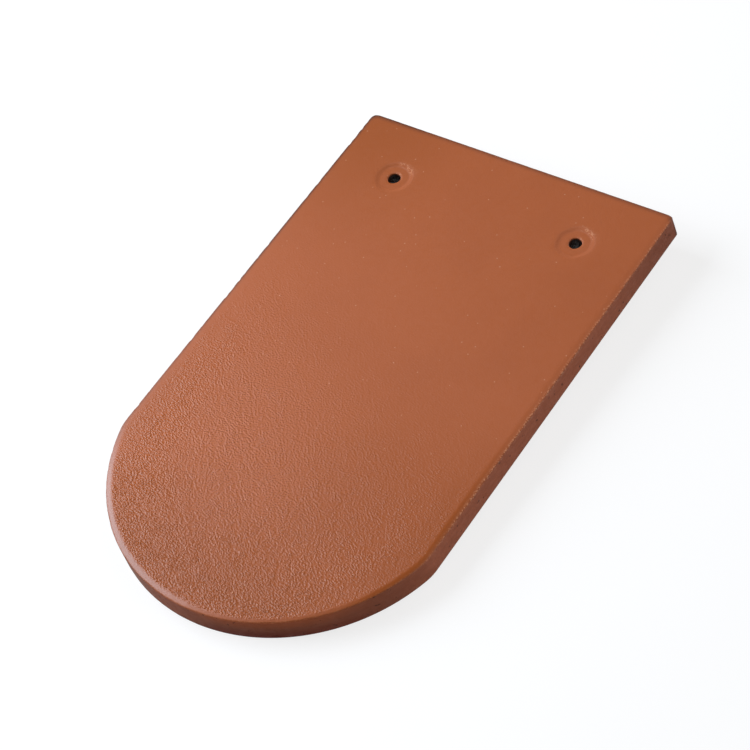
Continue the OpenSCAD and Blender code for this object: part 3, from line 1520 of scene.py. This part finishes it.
@dataclass(frozen=True)
class RoofTile:
    """The fired tile: face, rolled edge, sides, nail holes, underside and nibs in one closed skin.

    The rings of the roll and of the side are given as shares of the way over each.
    """

    plan: TilePlan
    holes: tuple[NailHole, ...]
    nibs: tuple[HangingNib, ...]
    lean: Lean
    marks: KilnMarks
    name: str = "clay_tile"
    relief: ClayRelief = ClayRelief()
    finish: FiredClay = FiredClay()
    side_finish: PressedSide = PressedSide()
    step: int = 4
    head_inset: float = 2.0
    straight_y: float = 95.0
    tail_rows: int = 112
    column_cells: tuple[int, ...] = (20, 36, 92, 36, 20)
    row_cells: tuple[int, ...] = (164, 32, 20)
    hole_rows: int = 1
    nib_rows: int = 2
    hole_half_w: float = 14.0
    hole_half_l: float = 12.0
    roll_rings: tuple[float, ...] = (0.24, 0.46, 0.66, 0.82, 0.93, 1.0)
    side_rings: tuple[float, ...] = (0.0, 0.12, 0.3, 0.5, 0.72, 1.0)
    crease_r: float = 0.34
    turn_share: float = 0.3
    burr_on_side: float = 0.5
    arris: float = 0.2
    under_share: float = 0.42
    corner_wear: float = 0.75
    corner_reach: Pair = (3.5, 0.5)
    face_reach: float = 2.0
    side_grain: float = 0.5

    def column_lines(self) -> Array:
        """Grid lines across the tile, from the left roll to the right one.

        Lines fall on the rectangles round the nail holes.

        Returns:
            The lines' X places.
        """
        edge, hole = self.plan.half_w - self.plan.roll_w, max(h.x for h in self.holes)
        keys = [-edge, -hole - self.hole_half_w, self.hole_half_w - hole]
        keys += [-key for key in reversed(keys)]
        return ruled(keys, self.column_cells)

    def row_lines(self) -> Array:
        """Grid lines along the straight part of the tile, up to the head.

        Lines fall on the rectangles round the nail holes.

        Returns:
            The lines' Y places.
        """
        hole = self.holes[0].y
        keys = [self.straight_y, hole - self.hole_half_l, hole + self.hole_half_l]
        return ruled([*keys, self.plan.length - self.head_inset], self.row_cells)

    def face_net(self) -> Array:
        """Plan of the face's grid, inside the roll.

        Column i of the tail runs straight from its place on the inner arc, at an angle in
        proportion to its X, to its place on the first straight row.

        Returns:
            The grid's X and Y, with rows along Y and columns along X.
        """
        columns, lines = self.column_lines(), self.row_lines()
        inner_r = self.plan.tail_r - self.plan.roll_w
        turn = math.asin(columns[-1] / inner_r) * columns / columns[-1]
        arc = np.stack([inner_r * np.sin(turn), self.plan.tail_r - inner_r * np.cos(turn)], axis=-1)
        first = np.stack([columns, np.full_like(columns, lines[0])], axis=-1)
        way = np.linspace(0.0, 1.0, self.tail_rows, endpoint=False)[:, None, None]
        tail = arc + way * (first - arc)
        straight = np.stack(np.meshgrid(columns, lines), axis=-1)
        return np.concatenate([tail, straight])

    def block(self, x: float, stretch: int) -> Block:
        """Cells of the face's grid that a nail hole takes or that lie over a nib.

        The left ones lie in the second stretch of columns and the right ones in the fourth.

        Args:
            x: Place of the hole or the nib across the tile.
            stretch: Number of the stretch of rows that it lies in.

        Returns:
            The rectangle of cells.
        """
        across = 1 if x < 0.0 else 3
        row = self.tail_rows + sum(self.row_cells[:stretch])
        column = sum(self.column_cells[:across])
        return Block(row, column, self.row_cells[stretch], self.column_cells[across])

    def face_points(self, plan: Array) -> Array:
        """Lift plan points to the grained face.

        Args:
            plan: Places as X and Y, one a row.

        Returns:
            The points on the face.
        """
        height = self.plan.face_height(plan) + self.relief.face(plan)
        for hole in self.holes:
            height = height - hole.sink(plan)
        return raised(plan, height)

    def edge_rings(self, inner: Array, outer: Array, out: Array) -> tuple[list[Array], list[Array]]:
        """Rings from the face's border over the roll, the crease and the side to the underside.

        The crease turns down on a small round that is rubbed back here and there, and the side
        carries drag marks, which fade as 6s(1.2 - s) near the crease, at the share s of the way
        down. The right head corner is worn, so that it leans in towards the face.

        Args:
            inner: The border's X and Y.
            outer: The outline's X and Y.
            out: Outward directions of the outline.

        Returns:
            The rings of the roll, and those of the side down to the underside.
        """
        to_corner = outer - np.array([self.plan.half_w, self.plan.length])
        wear = self.corner_wear * smooth_step(*self.corner_reach, lengths(to_corner))
        worn = outer - wear[:, None] * out
        level = self.plan.face_height(worn)
        burr = self.relief.burr(raised(worn, level))
        top = worn - (self.crease_r + burr)[:, None] * out
        roll = [self.face_points(inner + share * (top - inner)) for share in self.roll_rings]
        turned = self.turn_share * self.crease_r + burr
        roll.append(raised(worn - turned[:, None] * out, level - turned))
        side = []
        start = level - self.crease_r - burr
        for share in self.side_rings:
            height = start + share * (self.arris - start)
            fade = min(1.0, 6.0 * share * (1.2 - share))
            moved = fade * self.relief.side(raised(outer, height))
            moved = moved - (self.burr_on_side * burr + wear) * (1.0 - share)
            side.append(raised(outer + moved[:, None] * out, height))
        low = self.turn_share * self.arris
        side.append(raised(outer - low * out, low))
        side.append(raised(outer - self.arris * out, 0.0))
        return roll, side

    def build_edge(
        self, skin: Patchwork, ring: Array, inner: Array, cells: tuple[int, int]
    ) -> Array:
        """Carry the face's border over the edge to the underside.

        Args:
            skin: Patchwork that takes the edge.
            ring: Point numbers of the face's border.
            inner: The border's X and Y.
            cells: Cells of the face's grid across and along the tile.

        Returns:
            Point numbers of the last ring, on the underside.
        """
        outer, out = self.plan.rim(inner, *cells)
        roll, side = self.edge_rings(inner, outer, out)
        under = [raised(outer + self.under_share * (inner - outer), 0.0)]
        for coat, rings in ((Coat.FACE, roll), (Coat.SIDE, side), (Coat.FACE, under)):
            skin.coat = coat
            for points in rings:
                ring = skin.carry(ring, points)
        return ring

    def build_hole(
        self,
        skin: Patchwork,
        hole: NailHole,
        rings: tuple[Array, Array],
        plans: tuple[Array, Array],
    ) -> None:
        """Carry a nail hole from its opening in the underside up to its opening in the face.

        Rings of growing height make the bore, and rings of growing radius the countersink's
        floor, wall and soft rim.

        Args:
            skin: Patchwork that takes the hole.
            hole: The nail hole.
            rings: Point numbers of the openings in the underside and in the face.
            plans: X and Y of the two openings.
        """
        ring, above = rings
        coarse, border = plans
        ring = skin.carry(ring, raised(hole.ring(coarse, hole.bore_r + hole.collar), 0.0))
        for points in hole.bore_rings(border, self.plan.thickness):
            ring = skin.carry(ring, points)
        for plan in hole.sink_plans(border):
            ring = skin.carry(ring, self.face_points(plan))
        skin.strip(ring, above)

    def build_skin(self) -> Patchwork:
        """Build the whole skin: face, edge, underside, nail holes and nibs.

        Returns:
            The closed patchwork, in flat millimetres.
        """
        skin = Patchwork()
        net = self.face_net()
        rows, columns = net.shape[0] - 1, net.shape[1] - 1
        face = skin.add(self.face_points(net.reshape(-1, 2)).reshape(rows + 1, columns + 1, 3))
        under_net = net[::self.step, ::self.step]
        under = skin.add(raised(under_net, 0.0))
        face_kept = np.ones((rows, columns), dtype=bool)
        under_kept = np.ones((rows // self.step, columns // self.step), dtype=bool)
        last = self.build_edge(skin, ring_of(face), ring_of(net), (columns, rows))
        skin.taper(last, ring_of(under))
        for hole in self.holes:
            fine = self.block(hole.x, self.hole_rows)
            coarse = fine.coarser(self.step)
            fine.clear(face_kept)
            coarse.clear(under_kept)
            rings = coarse.border(under), fine.border(face)
            self.build_hole(skin, hole, rings, (coarse.border(under_net), fine.border(net)))
        for nib in self.nibs:
            block = self.block(nib.x, self.nib_rows).coarser(self.step)
            block.clear(under_kept)
            nib.build(skin, block.border(under))
        skin.net(face, face_kept, looks_up=True)
        skin.net(under, under_kept, looks_up=False)
        return skin

    def dress(self, mesh: bpy.types.Mesh, points: Array) -> None:
        """Give the mesh its clay and the numbers that the clay follows.

        The mesh carries the shares of smooth roll, of its dull and its shining part, of painted
        shade on the face, of rubbed clay with painted highlight, of dry clay, of a painted dark
        line of shade along the edges, of grain, of bore, which takes painted shade, and of painted
        light and shade on the sides.

        Args:
            mesh: Mesh of the skin.
            points: Its points in flat millimetres.
        """
        plan = points[:, :2]
        depth, _ = self.plan.depth(plan)
        below = self.plan.face_height(plan) - points[:, 2]
        on_face = below < self.face_reach
        rubbed_and_highlight, burnt = self.marks.crease(plan, depth, below)
        # painted highlight on the lit rims of the countersinks and bores
        rubbed_and_highlight = rubbed_and_highlight + sum(hole.rubbed_and_highlight(plan, below) for hole in self.holes)
        grain = self.relief.share(plan) * self.marks.grain(plan, depth)
        values = {
            "roll": np.where(on_face, self.marks.roll(plan, depth), 0.0),
            "dull": self.marks.dull.share(plan),
            "shine": self.marks.shiny(plan),
            # painted shade on the face
            "deep": self.marks.deep(plan, depth),
            # pale rubbed wear with painted highlight on the crease and the countersinks
            "edge": rubbed_and_highlight,
            "dry": np.maximum(rubbed_and_highlight, sum(hole.slope(plan) for hole in self.holes)),
            # painted dark line of shade along the head and the left edge
            "burnt": burnt,
            "grain": np.where(on_face, grain, self.side_grain),
            # the bores take painted shade
            "bore": sum(hole.inside(plan, below) for hole in self.holes),
            # painted light and painted shade on the sides
            **self.marks.sides(plan, points[:, 2]),
        }
        for name, numbers in values.items():
            carried = mesh.attributes.new(name, "FLOAT", "POINT")
            carried.data.foreach_set("value", numbers.astype(np.float32))
        mesh.materials.append(self.finish.material())
        mesh.materials.append(self.side_finish.material())

    def make(self) -> bpy.types.Object:
        """Build, lean and dress the tile.

        Returns:
            The tile's object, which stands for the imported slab.
        """
        skin = self.build_skin()
        points = skin.all_points()
        mesh = skin.mesh(self.name, self.lean.place(points))
        self.dress(mesh, points)
        tile = put_in_scene(self.name, mesh)
        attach(tile, "root")
        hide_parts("tile")
        return tile


@dataclass(frozen=True)
class StudioFloor:
    """A plain pale floor and the white room round it, in metres."""

    name: str = "studio_floor"
    radius: float = 2.6
    hub: float = 0.02
    rings: int = 6
    spokes: int = 96
    albedo: float = 0.26
    glow: float = 0.76
    wall_towards: Triple = (0.71, 0.71, 0.0)
    wall_edge: Pair = (0.25, 0.75)
    wall: float = 1.45
    room: float = 0.06

    def disc(self) -> bpy.types.Mesh:
        """Round floor: rings of growing radius, each point at radius r and angle a.

        Returns:
            The floor's mesh.
        """
        radius, angle = np.meshgrid(
            np.linspace(self.hub, 1.0, self.rings + 1) * self.radius,
            np.linspace(0.0, 2.0 * math.pi, self.spokes, endpoint=False),
            indexing="ij",
        )
        plan = np.stack([radius * np.cos(angle), radius * np.sin(angle)], axis=-1)
        floor = Patchwork()
        numbers = floor.add(raised(plan, 0.0))
        for inner, outer in zip(numbers, numbers[1:]):
            floor.strip(inner, outer)
        floor.lay(numbers[:1])
        return floor.mesh(self.name, floor.all_points())

    @staticmethod
    def seen_directly(bench: NodeBench) -> Socket:
        """1 for rays from the camera, from a mirror or through glass, and 0 for the rest.

        Args:
            bench: Bench of the material.

        Returns:
            The share.
        """
        rays = bench.node("ShaderNodeLightPath").outputs
        seen = bench.calculate("MAXIMUM", rays["Is Camera Ray"], rays["Is Glossy Ray"])
        return bench.calculate("MAXIMUM", seen, rays["Is Transmission Ray"])

    def finish(self) -> bpy.types.Material:
        """Matt white that takes a soft shadow and reads white where it is looked at.

        Returns:
            The floor's material.
        """
        white = bpy.data.materials.new("floor_white")
        bench = NodeBench(white)
        matt = bench.node("ShaderNodeBsdfDiffuse")
        bench.join(matt.inputs["Color"], (self.albedo,) * 3)
        glow = bench.node("ShaderNodeEmission")
        bench.join(glow.inputs["Strength"], bench.times(self.seen_directly(bench), self.glow))
        both = bench.node("ShaderNodeAddShader")
        bench.join(both.inputs[0], matt.outputs["BSDF"])
        bench.join(both.inputs[1], glow.outputs["Emission"])
        bench.join(bench.output.inputs["Surface"], both.outputs["Shader"])
        return white

    def light_room(self) -> None:
        """Dim room with one white wall behind the right flank; the camera sees it all white."""
        world = bpy.data.worlds.new("studio_room")
        bpy.context.scene.world = world
        bench = NodeBench(world)
        facing = bench.node("ShaderNodeVectorMath", operation="DOT_PRODUCT")
        bench.join(facing.inputs[0], bench.node("ShaderNodeTexCoord").outputs["Generated"])
        bench.join(facing.inputs[1], self.wall_towards)
        ends = self.room, self.wall
        wall = bench.remap(facing.outputs["Value"], self.wall_edge, ends, "SMOOTHSTEP")
        seen = bench.node("ShaderNodeLightPath").outputs["Is Camera Ray"]
        room = bench.node("ShaderNodeBackground")
        bench.join(room.inputs["Color"], (1.0, 1.0, 1.0))
        bench.join(room.inputs["Strength"], bench.calculate("MAXIMUM", wall, seen))
        bench.join(bench.output.inputs["Surface"], room.outputs["Background"])

    def make(self) -> bpy.types.Object:
        """Build the floor and its room.

        Returns:
            The floor's object.
        """
        mesh = self.disc()
        mesh.materials.append(self.finish())
        floor = put_in_scene(self.name, mesh)
        self.light_room()
        return floor


@dataclass(frozen=True)
class KeySoftbox:
    """The one softbox, placed by its direction and distance from the middle of the tile."""

    name: str = "key_softbox"
    azimuth: float = -77.0
    elevation: float = 34.0
    distance: float = 1.05
    aim: Triple = (0.0, 0.0, 0.01)
    size: Pair = (0.95, 0.90)
    power: float = 18.0
    tint: Triple = (0.93, 1.0, 1.10)

    def make(self) -> bpy.types.Object:
        """Hang the softbox and turn it to the tile.

        Returns:
            The lamp's object.
        """
        data = bpy.data.lights.new(self.name, "AREA")
        data.shape = "RECTANGLE"
        data.size, data.size_y = self.size
        data.energy = self.power
        data.color = self.tint
        away = Vector(direction(self.azimuth, self.elevation))
        lamp = put_in_scene(self.name, data)
        lamp.location = Vector(self.aim) + away * self.distance
        lamp.rotation_euler = (-away).to_track_quat("-Z", "Y").to_euler()
        return lamp


@dataclass(frozen=True)
class PhotoCamera:
    """Camera at the photograph's angle, in the flat tile's frame."""

    name: str = "photo_camera"
    place: Triple = (538.570, -308.823, 829.945)
    azimuth: float = 50.1270
    elevation: float = 49.8003
    roll: float = 20.1573
    lens: float = 118.670
    sensor: float = 36.0
    clip: Pair = (0.05, 50.0)

    def make(self, lean: Lean) -> bpy.types.Object:
        """Set up the camera.

        The view direction comes from azimuth and elevation. The picture's right and down are the
        level axes turned by the roll.

        Args:
            lean: How the tile leans, which takes the camera along.

        Returns:
            The camera's object.
        """
        back = np.array(direction(self.azimuth, self.elevation))
        level = np.cross(-back, [0.0, 0.0, 1.0])
        level /= np.linalg.norm(level)
        plumb = np.cross(-back, level)
        sine, cosine = math.sin(math.radians(self.roll)), math.cos(math.radians(self.roll))
        right = cosine * level + sine * plumb
        down = cosine * plumb - sine * level
        turned = Matrix(lean.turn(np.stack([right, -down, back])).T.tolist()).to_4x4()
        turned.translation = Vector(lean.place(np.array(self.place)))
        data = bpy.data.cameras.new(self.name)
        data.lens, data.sensor_width = self.lens, self.sensor
        data.clip_start, data.clip_end = self.clip
        camera = put_in_scene(self.name, data)
        camera.matrix_world = turned
        bpy.context.scene.camera = camera
        return camera


def measure_tile() -> RoofTile:
    """Take the tile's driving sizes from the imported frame.

    Returns:
        The tile, ready to be made.
    """
    mounts = {mount["name"]: mount for mount in frame["record"]["mounts"]}
    lean = Lean.from_underside(mounts["underside"])
    low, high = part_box("tile")
    holes, nibs = [], []
    for side in Side:
        bore, batten = mounts[f"nail_hole_{side.value}"], mounts[f"batten_face_{side.value}"]
        hole_x, hole_y, _ = lean.flat(np.array(bore["pos_m"]))
        nib_x, nib_y, _ = lean.flat(np.array(batten["pos_m"]))
        holes.append(NailHole(hole_x, hole_y, bore["dims"]["r_mm"]))
        nibs.append(HangingNib(nib_x, nib_y))
    bore_l = mounts[f"nail_hole_{Side.LEFT.value}"]["dims"]["length_mm"]
    length = (high.y - lean.tip_y) / math.cos(lean.angle) / MM
    plan = TilePlan((high.x - low.x) / 2.0 / MM, length, bore_l + holes[0].sink_depth)
    return RoofTile(plan, tuple(holes), tuple(nibs), lean, KilnMarks(plan))


def main() -> None:
    """Make the tile, the studio and the camera, and report each piece."""
    logging.basicConfig(level=logging.INFO, format="%(name)s: %(message)s")
    bpy.context.scene.view_settings.view_transform = "Standard"
    tile = measure_tile()
    made = tile.make()
    LOG.info("%s: %d points, %d faces", made.name, len(made.data.vertices), len(made.data.polygons))
    LOG.info("%s: stage", StudioFloor().make().name)
    LOG.info("%s: lamp", KeySoftbox().make().name)
    LOG.info("%s: camera", PhotoCamera().make(tile.lean).name)


if __name__ == "__main__":
    main()
